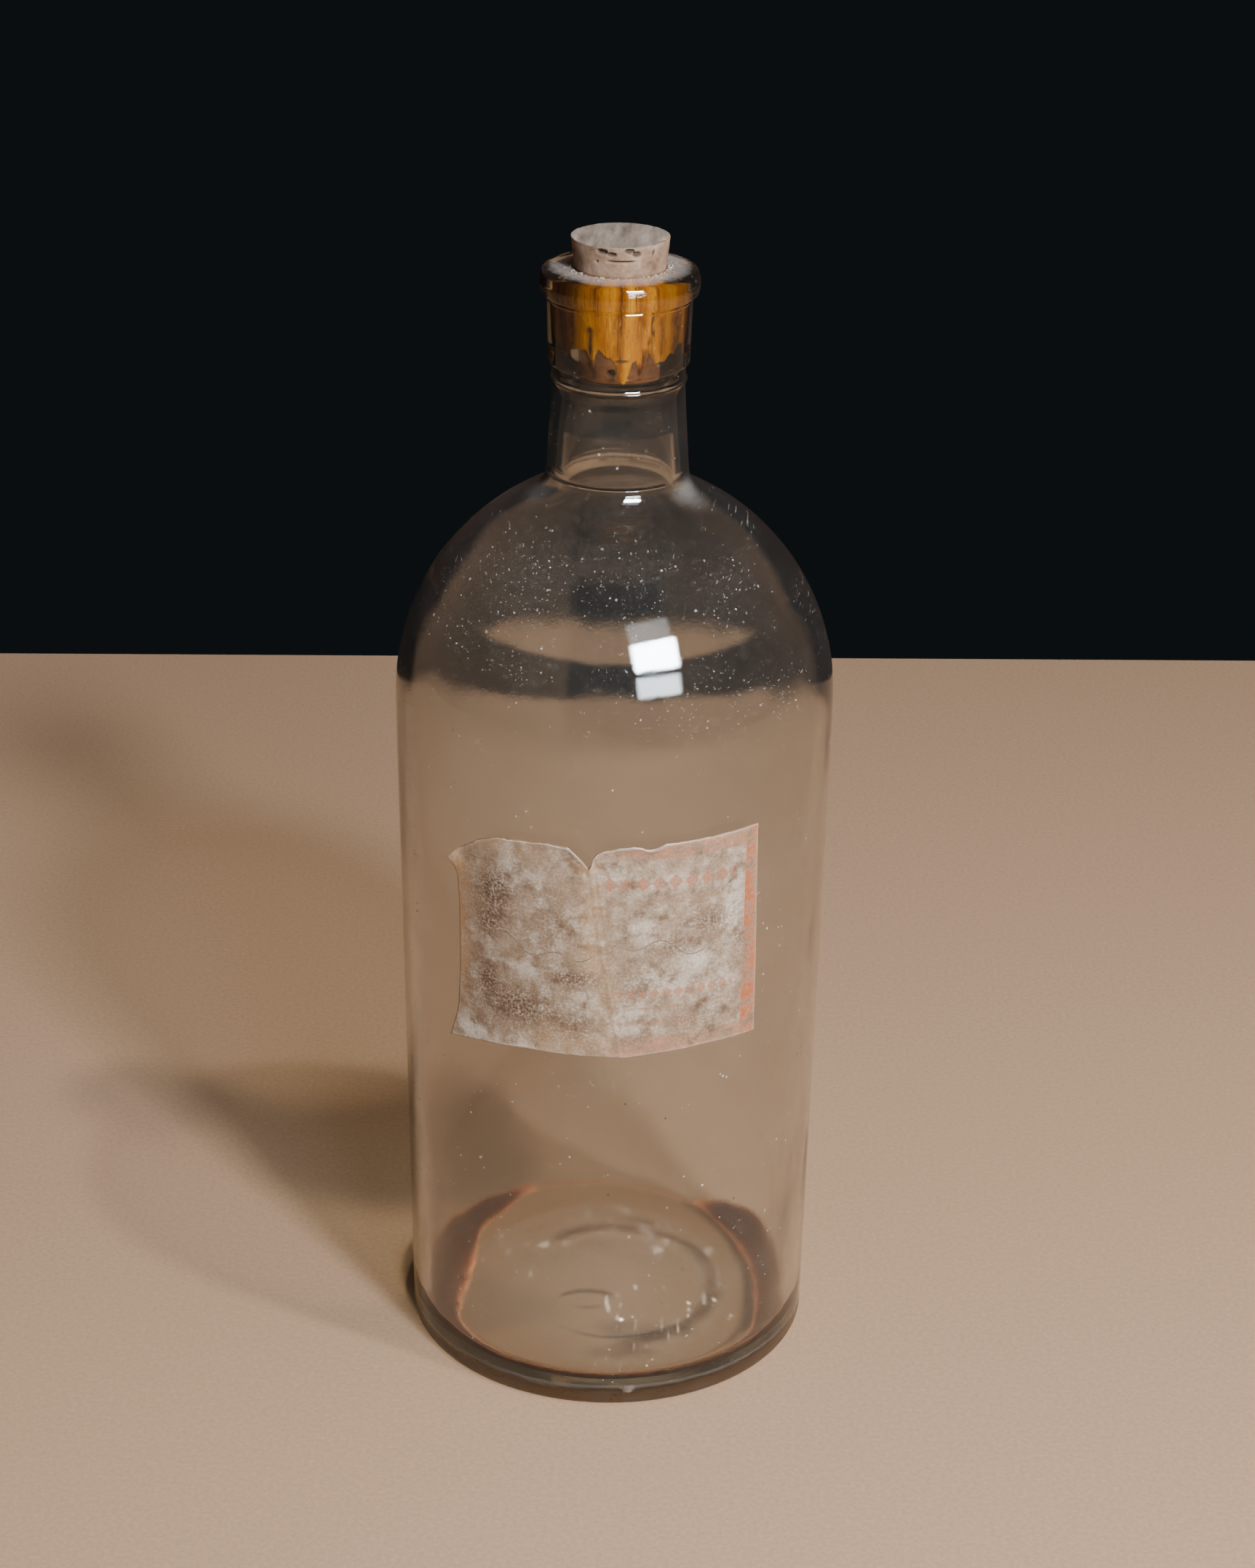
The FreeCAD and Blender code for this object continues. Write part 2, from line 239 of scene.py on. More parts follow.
def inside_outline():
    """From just under the mouth down the bore, neck, shoulder and wall to the middle of the floor."""
    bore = rounded([
        (bore_radius(RIM - 2), RIM - 2, 0),
        (BORE_FOOT_RADIUS, BORE_FOOT_HEIGHT, 2.5),
        (14.5, 283, 12),
        (15.4, 267.6, 0),
    ], 0.8)
    shoulder = dome((INNER_SHOULDER_RADIUS, SHOULDER_HEIGHT), 61.45, 15.4, 9, 1.9, 48)[::-1]
    wall_and_floor = rounded([
        (INNER_SHOULDER_RADIUS, SHOULDER_HEIGHT, 0),
        (FLOOR_RADIUS, FLOOR_EDGE_HEIGHT, FLOOR_ROUND),
        (0, FLOOR_CENTRE_HEIGHT, 0),
    ], 1.3)
    return np.concatenate([bore[1:-1], shoulder, wall_and_floor[1:]])


# -------- meshes

def mesh_piece(name, points_mm, faces, material, masks=None, smooth=True):
    """A mesh object from millimetre points, with optional named numbers kept on its points."""
    mesh = bpy.data.meshes.new(name)
    mesh.from_pydata((np.asarray(points_mm) * MM).tolist(), [], faces)
    mesh.polygons.foreach_set("use_smooth", [smooth] * len(mesh.polygons))
    for mask_name, values in (masks or {}).items():
        attribute = mesh.attributes.new(mask_name, "FLOAT", "POINT")
        attribute.data.foreach_set("value", np.asarray(values, dtype=np.float32))
    mesh.materials.append(material)
    mesh.validate()
    mesh.update()
    piece = bpy.data.objects.new(name, mesh)
    bpy.context.collection.objects.link(piece)
    return piece


def lathe_rows(outline, segments):
    """Points of an outline turned about the axis, and the unit normals of the turned surface."""
    angles = np.linspace(0, 2 * math.pi, segments, endpoint=False)
    along = np.gradient(outline, axis=0)
    along /= np.maximum(np.linalg.norm(along, axis=1), 1e-9)[:, None]
    cosine, sine = np.cos(angles), np.sin(angles)
    radius, height = outline[:, 0:1], outline[:, 1:2]
    out, up = along[:, 1:2], -along[:, 0:1]
    flat = np.ones((1, segments))
    points = np.stack([radius * cosine, radius * sine, height * flat], axis=2)
    normals = np.stack([out * cosine, out * sine, up * flat], axis=2)
    return points.reshape(-1, 3), normals.reshape(-1, 3)


def lathe_faces(rows, segments, first_pole=None, last_pole=None):
    """Quads between rows of a turned surface, and fans to a point at either end."""
    faces = []
    for row in range(rows - 1):
        low, high = row * segments, (row + 1) * segments
        for step in range(segments):
            after = (step + 1) % segments
            faces.append((low + step, low + after, high + after, high + step))
    for step in range(segments):
        after = (step + 1) % segments
        if first_pole is not None:
            faces.append((first_pole, after, step))
        if last_pole is not None:
            faces.append((last_pole, (rows - 1) * segments + step, (rows - 1) * segments + after))
    return faces


def with_poles(points, segments, low, high, masks):
    """A turned body closed by a point at either end, with its masks carried to them as 0."""
    count = len(points)
    faces = lathe_faces(count // segments, segments, count, count + 1)
    points = np.concatenate([points, [[0, 0, low], [0, 0, high]]])
    return points, faces, padded(masks, count + 2)


def padded(masks, count):
    """Masks made as long as count, with 0 for the points added to a piece."""
    return {name: np.concatenate([values, np.zeros(count - len(values))])
            for name, values in masks.items()}


def small_ball(centre, radius, rings=8, segments=12, inward=False):
    """Points and faces of a ball; inward turns it into a bubble in glass."""
    tilt = np.linspace(-90, 90, rings + 1)[1:-1]
    outline = np.stack([radius * np.cos(np.radians(tilt)), radius * np.sin(np.radians(tilt))], axis=1)
    points, faces, _ = with_poles(lathe_rows(outline, segments)[0], segments, -radius, radius, {})
    return points + centre, [face[::-1] for face in faces] if inward else faces


def joined(parts):
    """Joins (points, faces) pairs into one list of points and one of faces."""
    points, faces, shift = [], [], 0
    for part_points, part_faces in parts:
        points.append(part_points)
        faces.extend([tuple(corner + shift for corner in face) for face in part_faces])
        shift += len(part_points)
    return np.concatenate(points), faces


# -------- materials

class Shader:
    """A material's node tree with short calls for the nodes used here."""

    def __init__(self, name):
        self.material = bpy.data.materials.new(name)
        self.material.use_nodes = True
        self.tree = self.material.node_tree
        self.tree.nodes.clear()
        self.output = self.tree.nodes.new("ShaderNodeOutputMaterial")
        self.place = self.node("ShaderNodeTexCoord").outputs["Object"]

    def node(self, kind, inputs=None, **settings):
        made = self.tree.nodes.new(kind)
        for key, value in settings.items():
            setattr(made, key, value)
        for socket, value in (inputs or {}).items():
            self.feed(made.inputs[socket], value)
        return made

    def feed(self, socket, value):
        if isinstance(value, bpy.types.NodeSocket):
            self.tree.links.new(value, socket)
        elif isinstance(value, (tuple, list)) and len(value) == 3 and socket.type == "RGBA":
            socket.default_value = (*value, 1)
        else:
            socket.default_value = value

    def math(self, operation, *values, clamp=False):
        inputs = dict(enumerate(values))
        return self.node("ShaderNodeMath", inputs, operation=operation, use_clamp=clamp).outputs[0]

    def times(self, first, *others, clamp=False):
        for other in others:
            first = self.math("MULTIPLY", first, other, clamp=clamp)
        return first

    def most(self, first, *others, clamp=False):
        for other in others:
            first = self.math("MAXIMUM", first, other, clamp=clamp)
        return first

    def mask(self, name):
        return self.node("ShaderNodeAttribute", attribute_name=name).outputs["Fac"]

    def parts(self, vector):
        return self.node("ShaderNodeSeparateXYZ", {0: vector}).outputs

    def stretched(self, scale, turn=(0, 0, 0)):
        """The place on the object, scaled and turned, so that a texture runs one way."""
        inputs = {"Vector": self.place, "Scale": scale, "Rotation": turn}
        return self.node("ShaderNodeMapping", inputs).outputs[0]

    def noise(self, scale, detail=4, roughness=0.55, vector=None, distortion=0):
        inputs = {"Vector": vector or self.place, "Scale": scale, "Detail": detail,
                  "Roughness": roughness, "Distortion": distortion}
        return self.node("ShaderNodeTexNoise", inputs).outputs["Fac"]

    def cells(self, scale):
        """Distance to the nearest of scattered points."""
        inputs = {"Vector": self.place, "Scale": scale}
        return self.node("ShaderNodeTexVoronoi", inputs).outputs["Distance"]

    def ramp(self, value, *stops):
        """A number or colour for each (position, value) stop."""
        made = self.node("ShaderNodeValToRGB")
        elements = made.color_ramp.elements
        while len(elements) < len(stops):
            elements.new(0.5)
        for element, (position, shade) in zip(elements, stops):
            element.position = position
            element.color = (*shade, 1) if isinstance(shade, tuple) else (shade, shade, shade, 1)
        self.feed(made.inputs[0], value)
        return made.outputs[0]

    def tones(self, noise, low, high):
        """A ramp over the range that a noise mostly keeps to."""
        return self.ramp(noise, (0.3, low), (0.7, high))

    def between(self, value, start, stop):
        """0 below start and 1 above stop; start may be above stop to turn it round."""
        inputs = {"Value": value, "From Min": min(start, stop), "From Max": max(start, stop),
                  "To Min": float(start > stop), "To Max": float(start < stop)}
        return self.node("ShaderNodeMapRange", inputs, interpolation_type="SMOOTHSTEP").outputs[0]

    def blend(self, share, first, second, strength=None):
        """Two colours mixed; a mix node's colour sockets stand after its number and vector ones."""
        made = self.node("ShaderNodeMix", data_type="RGBA")
        if strength is not None:
            share = self.times(share, strength)
        for socket, value in ((0, share), (6, first), (7, second)):
            self.feed(made.inputs[socket], value)
        return made.outputs[2]

    def bump(self, height, distance, strength=1, normal=None):
        inputs = {"Height": height, "Distance": distance, "Strength": strength}
        if normal is not None:
            inputs["Normal"] = normal
        return self.node("ShaderNodeBump", inputs).outputs[0]

    def finish(self, **inputs):
        """One Principled shader with the given sockets, spaces written as underscores."""
        named = {key.replace("_", " "): value for key, value in inputs.items()}
        principled = self.node("ShaderNodeBsdfPrincipled", named)
        self.feed(self.output.inputs["Surface"], principled.outputs[0])
        return self.material

    def let_shadows_through(self, colour, share):
        """Light reaches through the glass to what stands behind it, as it does through real glass."""
        principled = self.output.inputs["Surface"].links[0].from_socket
        clear = self.node("ShaderNodeBsdfTransparent", {"Color": colour}).outputs[0]
        is_shadow = self.node("ShaderNodeLightPath").outputs["Is Shadow Ray"]
        inputs = {0: self.times(is_shadow, share), 1: principled, 2: clear}
        self.feed(self.output.inputs["Surface"], self.node("ShaderNodeMixShader", inputs).outputs[0])


def glass_material():
    shader = Shader("aged_clear_glass")
    height = shader.parts(shader.place)[2]
    dust = shader.mask("dust")
    grime_and_heel_shade = shader.mask("grime_and_heel_shade")
    fine = shader.noise(900, 5, 0.7)
    cloudy = shader.noise(38, 6, 0.65)
    on_shoulder = shader.times(shader.between(height, 0.196, 0.222), shader.between(height, 0.268, 0.258))
    speck_size = shader.times(shader.between(shader.noise(230, 2), 0.5, 0.75), 0.2)
    speck = shader.times(
        shader.math("LESS_THAN", shader.cells(420), speck_size), shader.between(cloudy, 0.4, 0.62)
    )
    marks = scratches(shader, on_shoulder, cloudy)
    film = shader.between(shader.times(cloudy, fine), 0.16, 0.55)
    haze = shader.times(
        shader.math("MULTIPLY_ADD", film, 0.022, 0.01),
        shader.ramp(shader.mask("inner"), (0, 1), (1, 0.1)),
        shader.ramp(shader.between(height, 0.285, 0.3), (0, 1), (1, 0.25)),
    )
    settled = shader.times(dust, shader.ramp(fine, (0.25, 0.55), (0.6, 1.15)), clamp=True)
    pale = shader.most(shader.times(speck, 0.75), marks)
    cover = shader.most(haze, settled, pale)
    grime_and_shade_amount = shader.times(grime_and_heel_shade, shader.ramp(cloudy, (0.35, 0.45), (0.6, 1)), clamp=True)
    cover = shader.most(cover, grime_and_shade_amount, clamp=True)
    tint = (0.915, 0.915, 0.92)
    dust_colour = shader.tones(fine, (0.37, 0.3, 0.29), (0.58, 0.51, 0.49))
    colour = shader.blend(shader.between(cover, 0.02, 0.5), tint, dust_colour)
    colour = shader.blend(pale, colour, (0.9, 0.88, 0.85))
    # This dark colour is real dirt on the underside, and painted shade in the band on the front of the
    # heel.
    colour = shader.blend(shader.between(grime_and_shade_amount, 0, 0.3), colour, (0.075, 0.05, 0.03))
    roughness = shader.math("MULTIPLY_ADD", cover, 0.6, 0.015, clamp=True)
    ripples = shader.noise(55, 2, 0.4, shader.stretched((1, 1, 0.45)))
    normal = shader.bump(ripples, 0.00012)
    normal = shader.bump(fine, 0.00004, 0.25, normal)
    material = shader.finish(
        Base_Color=colour,
        Roughness=roughness,
        IOR=1.52,
        Transmission_Weight=shader.math("SUBTRACT", 1, cover, clamp=True),
        Sheen_Weight=0.03,
        Sheen_Roughness=0.45,
        Sheen_Tint=(1, 0.66, 0.6),
        Normal=normal,
    )
    shader.let_shadows_through((0.95, 0.94, 0.92), 0.96)
    volume = shader.node("ShaderNodeVolumeAbsorption", {"Color": (0.68, 0.64, 0.5), "Density": 52})
    shader.feed(shader.output.inputs["Volume"], volume.outputs[0])
    return material


def scratches(shader, on_shoulder, cloudy):
    """Fine pale wipe marks and scuffs, most of them on the shoulder, in three directions."""
    runs = []
    for turn, limit in (((0.5, 0.9, 0), 0.69), ((-0.6, 0.3, 0.8), 0.7), ((1.3, -0.5, 0.4), 0.7)):
        run = shader.noise(1300, 2, 0.5, shader.stretched((1, 0.03, 1), turn))
        runs.append(shader.between(run, limit, limit + 0.05))
    where = shader.math("MULTIPLY_ADD", on_shoulder, 0.08, cloudy)
    return shader.times(shader.most(*runs), shader.between(where, 0.5, 0.7), 0.45)


def cork_material():
    shader = Shader("old_taper_cork")
    place = shader.parts(shader.place)
    height = shader.times(place[2], 1000)
    wet = shader.mask("pressed")
    stain = shader.mask("stain")
    pit_shade = shader.mask("pit_shade")
    upright = shader.stretched((1, 1, 0.045))
    streaks = shader.noise(1050, 5, 0.7, upright)
    broad = shader.noise(260, 4, 0.6, upright)
    grain = shader.noise(1500, 4, 0.6)
    blotch = shader.noise(190, 5, 0.65)
    amber = shader.ramp(
        broad, (0.36, (0.16, 0.044, 0.001)), (0.48, (0.5, 0.18, 0.003)), (0.6, (0.74, 0.34, 0.006))
    )
    lines = shader.between(streaks, 0.54, 0.64)
    amber = shader.blend(lines, amber, (0.11, 0.027, 0.003), 0.85)
    pale = shader.between(streaks, 0.42, 0.34)
    amber = shader.blend(pale, amber, (0.92, 0.52, 0.03), 0.55)
    # Painted shade: the amber is darkened towards the cork's left and right sides along X, where the round
    # cork turns away and looks shaded.
    shaded_sides = shader.between(shader.math("ABSOLUTE", place[0]), 0.006, 0.0115)
    amber = shader.blend(shaded_sides, amber, (0.14, 0.04, 0.004), 0.6)
    dry_low = shader.tones(blotch, (0.075, 0.03, 0.014), (0.26, 0.115, 0.05))
    side = shader.blend(wet, dry_low, amber)
    above = shader.ramp(
        blotch, (0.32, (0.17, 0.105, 0.07)), (0.52, (0.32, 0.215, 0.15)), (0.68, (0.42, 0.31, 0.24))
    )
    out = shader.between(height, RIM - 0.5, RIM + 0.7)
    side = shader.blend(out, side, above)
    soaked = shader.times(stain, shader.ramp(streaks, (0.3, 0.55), (0.6, 1)))
    side = shader.blend(soaked, side, (0.05, 0.016, 0.007))
    lid_grain = shader.noise(260, 6, 0.7, shader.stretched((1, 0.16, 1), (0, 0, 0.5)))
    lid = shader.ramp(
        lid_grain, (0.32, (0.105, 0.083, 0.07)), (0.52, (0.215, 0.18, 0.155)), (0.7, (0.33, 0.295, 0.265))
    )
    on_top = shader.between(height, CORK_TOP - 0.45, CORK_TOP - 0.15)
    colour = shader.blend(on_top, side, lid)
    # Painted shade: the pits are coloured nearly black, as if shade filled them.
    colour = shader.blend(pit_shade, colour, (0.035, 0.025, 0.02))
    colour = shader.blend(shader.between(grain, 0.5, 0.75), colour, (0.12, 0.08, 0.06), 0.22)
    rough = shader.ramp(wet, (0, 0.85), (1, 0.55))
    normal = shader.bump(grain, 0.0001, 0.6)
    normal = shader.bump(blotch, 0.0004, 0.5, normal)
    return shader.finish(Base_Color=colour, Roughness=rough, Specular_IOR_Level=0.12, Normal=normal)


def floor_material():
    shader = Shader("plain_pale_floor")
    grain = shader.noise(700, 3, 0.6)
    colour = shader.tones(grain, (0.4, 0.262, 0.168), (0.47, 0.32, 0.215))
    return shader.finish(Base_Color=colour, Roughness=0.75, Specular_IOR_Level=0.25)


def label_material():
    shader = Shader("worn_label_paper")
    across, up = shader.mask("across"), shader.mask("up")
    sheet = shader.node("ShaderNodeCombineXYZ", {0: across, 1: up}).outputs[0]
    mottle = shader.noise(0.2, 9, 0.7, sheet)
    fibre = shader.noise(3.2, 5, 0.7, sheet)
    dirt = shader.noise(1.25, 8, 0.78, sheet, 0.4)
    broad = shader.noise(0.11, 3, 0.5, sheet)
    paper = shader.ramp(
        mottle, (0.37, (0.2, 0.135, 0.09)), (0.49, (0.4, 0.31, 0.232)), (0.63, (0.64, 0.555, 0.47))
    )
    paper = shader.blend(shader.between(broad, 0.4, 0.62), paper, (0.4, 0.295, 0.21), 0.6)
    # Faded paper, and a painted highlight on the lifted lower-left corner.
    bleach_and_lit_corner = shader.times(shader.mask("bleach_and_lit_corner"), shader.between(mottle, 0.36, 0.56))
    paper = shader.blend(bleach_and_lit_corner, paper, (0.8, 0.74, 0.67))
    toned = shader.times(shader.mask("toned"), shader.tones(mottle, 1, 0.6))
    paper = shader.blend(toned, paper, (0.68, 0.43, 0.23), 0.9)
    paper = printed_marks(shader, paper, across, up, mottle, fibre)
    smudge = shader.times(
        shader.math("MULTIPLY_ADD", shader.mask("smudge"), 0.95, 0.34, clamp=True),
        shader.between(dirt, 0.4, 0.54),
    )
    paper = shader.blend(smudge, paper, (0.13, 0.082, 0.055))
    pores = shader.between(fibre, 0.6, 0.74)
    paper = shader.blend(pores, paper, (0.15, 0.11, 0.08), 0.3)
    paper = shader.blend(shader.times(shader.mask("torn"), 0.35), paper, (0.8, 0.74, 0.66))
    paper = shader.blend(shader.mask("reverse"), paper, (0.3, 0.175, 0.085))
    normal = shader.bump(fibre, 0.00008, 0.7)
    normal = shader.bump(mottle, 0.00022, 0.6, normal)
    rough = shader.tones(mottle, 0.78, 0.92)
    return shader.finish(Base_Color=paper, Roughness=rough, Specular_IOR_Level=0.06, Normal=normal)


def printed_marks(shader, paper, across, up, mottle, fibre):
    """Worn generic printing: a frame, rows of lozenges, blank rules, and one faint pen flourish."""
    orange = (0.56, 0.18, 0.08)
    wear = shader.between(mottle, 0.42, 0.56)
    right_side = shader.between(across, -6, 12)

    def apart(value, middle):
        return shader.math("ABSOLUTE", shader.math("SUBTRACT", value, middle))

    def row(level, half_height, pitch, start, stop, strength):
        phase = apart(shader.math("FRACT", shader.math("DIVIDE", across, pitch)), 0.5)
        off_row = shader.math("DIVIDE", apart(up, level), half_height)
        size = shader.math("ADD", shader.times(phase, 2.2), off_row)
        return shader.times(
            shader.between(size, 1.08, 0.9), shader.between(across, start - 1, start + 3),
            shader.math("LESS_THAN", across, stop), strength
        )

    def rule(level, half_height, start, stop, strength):
        return shader.times(
            shader.between(apart(up, level), half_height * 1.3, half_height * 0.7),
            shader.between(across, start, start + 8), shader.math("LESS_THAN", across, stop), strength
        )

    frame_right = shader.between(across, 42.1, 42.6)
    frame_top = shader.times(shader.between(up, 178.6, 179.1), right_side)
    frame_low = shader.times(shader.between(up, 124, 123.4), right_side)
    border = shader.most(frame_right, shader.times(shader.most(frame_top, frame_low), 0.55))
    ink = shader.most(
        shader.times(border, shader.ramp(mottle, (0.4, 0.3), (0.56, 1))),
        row(171.5, 2.3, 4.6, 0, 39, 0.72),
        row(137.6, 1.7, 3.4, 4, 39, 0.6),
        rule(166.2, 0.22, 8, 38, 0.4),
        rule(133, 0.18, 4, 37, 0.45),
        row(128.2, 1.1, 2.2, 3, 29, 0.5),
    )
    ink = shader.times(ink, shader.ramp(wear, (0, 0.35), (1, 1)))
    paper = shader.blend(ink, paper, orange)
    swing = shader.math("SINE", shader.math("MULTIPLY_ADD", across, 0.42, 0.6))
    slow = shader.math("SINE", shader.times(across, 0.13))
    level = shader.math("MULTIPLY_ADD", swing, 1.5, shader.math("MULTIPLY_ADD", slow, 2.4, 150.5))
    stroke = shader.times(
        shader.between(apart(up, level), 0.26, 0.1), shader.between(across, -32, -28),
        shader.between(across, 33, 28), shader.between(mottle, 0.44, 0.54), 0.7
    )
    return shader.blend(stroke, paper, (0.07, 0.055, 0.05))


def paste_material():
    shader = Shader("dried_gum")
    blotch = shader.noise(300, 4, 0.6)
    colour = shader.tones(blotch, (0.16, 0.07, 0.025), (0.32, 0.165, 0.065))
    return shader.finish(Base_Color=colour, Roughness=0.5, Normal=shader.bump(blotch, 0.0001, 0.5))


def residue_material():
    shader = Shader("dried_medicine")
    deep = shader.mask("deep")
    blotch = shader.noise(140, 6, 0.7)
    fine = shader.noise(700, 4, 0.65)
    depth = shader.math("ADD", deep, shader.math("MULTIPLY_ADD", blotch, 0.6, -0.3))
    colour = shader.ramp(
        depth, (0.05, (0.17, 0.062, 0.022)), (0.2, (0.07, 0.02, 0.008)),
        (0.45, (0.024, 0.007, 0.004)), (0.9, (0.012, 0.004, 0.003))
    )
    colour = shader.blend(shader.between(fine, 0.55, 0.7), colour, (0.12, 0.065, 0.05), 0.3)
    rough = shader.tones(blotch, 0.45, 0.75)
    return shader.finish(
        Base_Color=colour, Roughness=rough, Specular_IOR_Level=0.15, Normal=shader.bump(fine, 0.00015, 0.6)
    )


def crumb_material():
    shader = Shader("dust_and_cork_crumbs")
    pick = shader.noise(900, 2)
    colour = shader.ramp(
        pick, (0.35, (0.2, 0.15, 0.11)), (0.55, (0.5, 0.46, 0.42)), (0.7, (0.7, 0.68, 0.65))
    )
    return shader.finish(Base_Color=colour, Roughness=0.9)


# -------- the glass bottle

def outer_ripple(points):
    """How far the outside of the hand-finished glass stands off a true round, in millimetres."""
    flattened = points * (1, 1, 0.6)
    return 0.16 * layered_noise(flattened, 0.035, 5, 2) + 0.03 * lattice_noise(flattened, 0.16, 8)


def inner_ripple(points):
    flattened = points * (1, 1, 0.55)
    calm = 1 - 0.7 * smooth_step(points[:, 2], 196, 220)
    return calm * (0.45 * layered_noise(flattened, 0.03, 21, 2) + 0.05 * lattice_noise(flattened, 0.12, 25))


def shoulder_ridge(points):
    """Extra glass inside the shoulder: a low ring of thicker glass, as blown bottles often have."""
    height, extra = np.array(RIDGE_PROFILE).T
    soft = sum(np.interp(points[:, 2] + shift, height, extra) for shift in (-1.6, -0.8, 0, 0.8, 1.6)) / 5
    return soft * (1 + 0.1 * lattice_noise(points * (1, 1, 0.3), 0.05, 29))


def glass_bottle():
    segments = 224
    outside = outside_outline()
    inside = inside_outline()
    outline = np.concatenate([outside, inside])
    body = outline[1:-1]
    points, normals = lathe_rows(body, segments)
    row = np.repeat(np.arange(len(body)), segments)
    is_inside = row >= len(outside) - 1
    is_under = row < PUSH_UP_ROWS - 1
    radius = np.hypot(points[:, 0], points[:, 1])
    height = points[:, 2]
    finish_free = 1 - smooth_step(height, 284, 297)
    rest_free = smooth_step(height, 0.3, 12)
    inner = inner_ripple(points) + shoulder_ridge(points)
    push = np.where(is_inside, inner, outer_ripple(points) * rest_free) * finish_free
    push = np.where(is_inside & (height < 20), push * 1.2, push)
    points = points + normals * push[:, None]
    points[:, 2] += np.where(is_under, mould_marks(points), 0)
    angle = facing(points)
    masks = {
        "dust": dust_cover(points, radius, height, angle, is_inside),
        "grime_and_heel_shade": grime_and_heel_shade_cover(points, radius, height, angle, is_inside),
        "inner": is_inside.astype(float),
    }
    points, faces, masks = with_poles(points, segments, outline[0, 1], outline[-1, 1], masks)
    points, faces = joined([(points, faces)] + seeds())
    piece = mesh_piece("bottle_glass", points, faces, glass_material(), padded(masks, len(points)))
    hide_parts("glass_bottle")
    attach(piece, GLASS_BODY)


def mould_marks(points):
    """Relief of the underside: the ring where the parison was cut off, and an oval scar beside it."""
    across = np.hypot(points[:, 0] - 3, points[:, 1] + 1)
    angle = facing(points)
    ring = bell(across - 29.5, 2.4) * smooth_step(np.abs(turn_apart(angle, -95)), 30, 75)
    fold = bell(across - 26, 3.6) * bell(turn_apart(angle, 15), 55)
    oval_across = np.hypot((points[:, 0] + 5.5) / 7, (points[:, 1] + 12.5) / 4.2)
    oval = bell(oval_across - 1, 0.34)
    swirl = 0.45 * layered_noise(points, 0.05, 41, 2) * (1 - smooth_step(across, 34, 44))
    return 0.55 * ring - 0.5 * fold + 0.45 * oval + swirl


def heel_chips(points):
    """Two small pale bruises low on the front of the heel."""
    large = spot(points, (9.4, -58.8, 4.6), (1.8, 2.4, 0.8))
    return large + 0.8 * spot(points, (5.6, -59.2, 2.7), (1.6, 2.4, 0.6))


def dust_cover(points, radius, height, angle, is_inside):
    """Share of the glass hidden by settled dust: the lip's top, the neck's root, the shoulder."""
    fade = radius + 0.9 * layered_noise(points, 0.35, 60, 3)
    lip_top = smooth_step(height, RIM - 0.9, RIM - 0.25) * (0.14 + 0.48 * smooth_step(fade, 18.6, 15.6))
    lip_top *= smooth_step(fade, 20.2, 18.4)
    patch = 0.8 + 0.35 * layered_noise(points, 0.6, 61, 3)
    root = bell(height - 266.5, 3.2) * smooth_step(radius, 19, 20.5)
    root *= 0.16 * bell(turn_apart(angle, 70), 16) + 0.12 * bell(turn_apart(angle, -75), 18)
    cover = np.where(is_inside, 0, np.maximum(np.maximum(lip_top * patch, root), heel_chips(points)))
    return np.clip(cover, 0, 1)


def grime_and_heel_shade_cover(points, radius, height, angle, is_inside):
    """Brownish dirt on the underside: smoky along the ring's right half, and two patches in front of it;
    and painted shade, a dark band low on the front of the heel.
    """
    across = np.hypot(points[:, 0] - 1.5, points[:, 1] + 1) + 1.2 * layered_noise(points, 0.15, 70, 3)
    along = smooth_step(turn_apart(angle, 76), -78, -50) * smooth_step(turn_apart(angle, 76), 70, 40)
    arc_of_dirt = bell(across - 30.5, 3) * along * 0.26
    patches = 0.26 * spot(points, (4, -36, 1.5), (14, 4, 5)) + 0.2 * spot(points, (9, -25, 3), (17, 5, 5))
    # Painted shade: this dark band low on the front of the heel stands for the shade under the bottle seen
    # through the thick base.
    heel = 0.8 * smooth_step(height, 6.2, 4.2) * smooth_step(radius, 55.5, 57.5)
    heel *= smooth_step(np.abs(angle), 125, 95) * (1 - np.minimum(heel_chips(points), 1))
    return np.where(is_inside, 0, np.clip((arc_of_dirt + patches) * (height < 6) + heel, 0, 1))


def seeds():
    """Small air bubbles in the glass: a few known ones in the base, the rest strewn in the wall."""
    random = np.random.default_rng(77)
    found = [((31.9, -0.5, 5.2), 0.85), ((31.2, -7.4, 5), 0.75), ((29.6, -10.6, 5), 0.5),
             ((9.4, -56.6, 4.4), 0.8), ((7.4, -56.9, 3.2), 0.45), ((5.6, -57, 2.9), 0.4)]
    for _ in range(46):
        turn = random.uniform(0, 2 * math.pi)
        height = random.uniform(18, 195)
        radius = 0.5 * (outer_wall_radius(height) + FLOOR_RADIUS + 3 * height / SHOULDER_HEIGHT)
        size = random.uniform(0.1, 0.32)
        found.append(((radius * math.cos(turn), radius * math.sin(turn), height), size))
    return [small_ball(centre, size, inward=True) for centre, size in found]


# -------- the cork

# Where the pressed part of the cork reaches lower: (angle, half angle, drop), degrees and millimetres.
PRESSED_DIPS = ((-31, 4, 5), (8, 9, 9), (30, 6, 6), (58, 16, 3.5), (-72, 12, 3), (120, 9, 8),
                (170, 14, 6), (-140, 7, 9))
# Pits: (angle, height, half angle, half height, depth).
CORK_PITS = (
    (-18.5, 333.7, 6.5, 0.8, 0.9), (-8, 333.1, 5.5, 0.6, 0.7), (13.5, 334, 5.5, 0.8, 0.9),
    (22, 333.1, 5, 0.9, 0.8), (4, 331.2, 19, 0.25, 0.6), (-26, 331, 1.6, 0.3, 0.5),
    (45, 333, 2, 0.9, 0.5), (-7.5, 300.8, 5.5, 1.1, 1.6), (6, 304.4, 9, 0.45, 0.6),
    (150, 331.5, 5, 0.7, 0.8), (-120, 333, 4, 1.2, 0.9), (95, 330.2, 3, 0.5, 0.6),
    (-160, 330.6, 8, 0.3, 0.6), (-70, 332, 3, 0.6, 0.6),
)
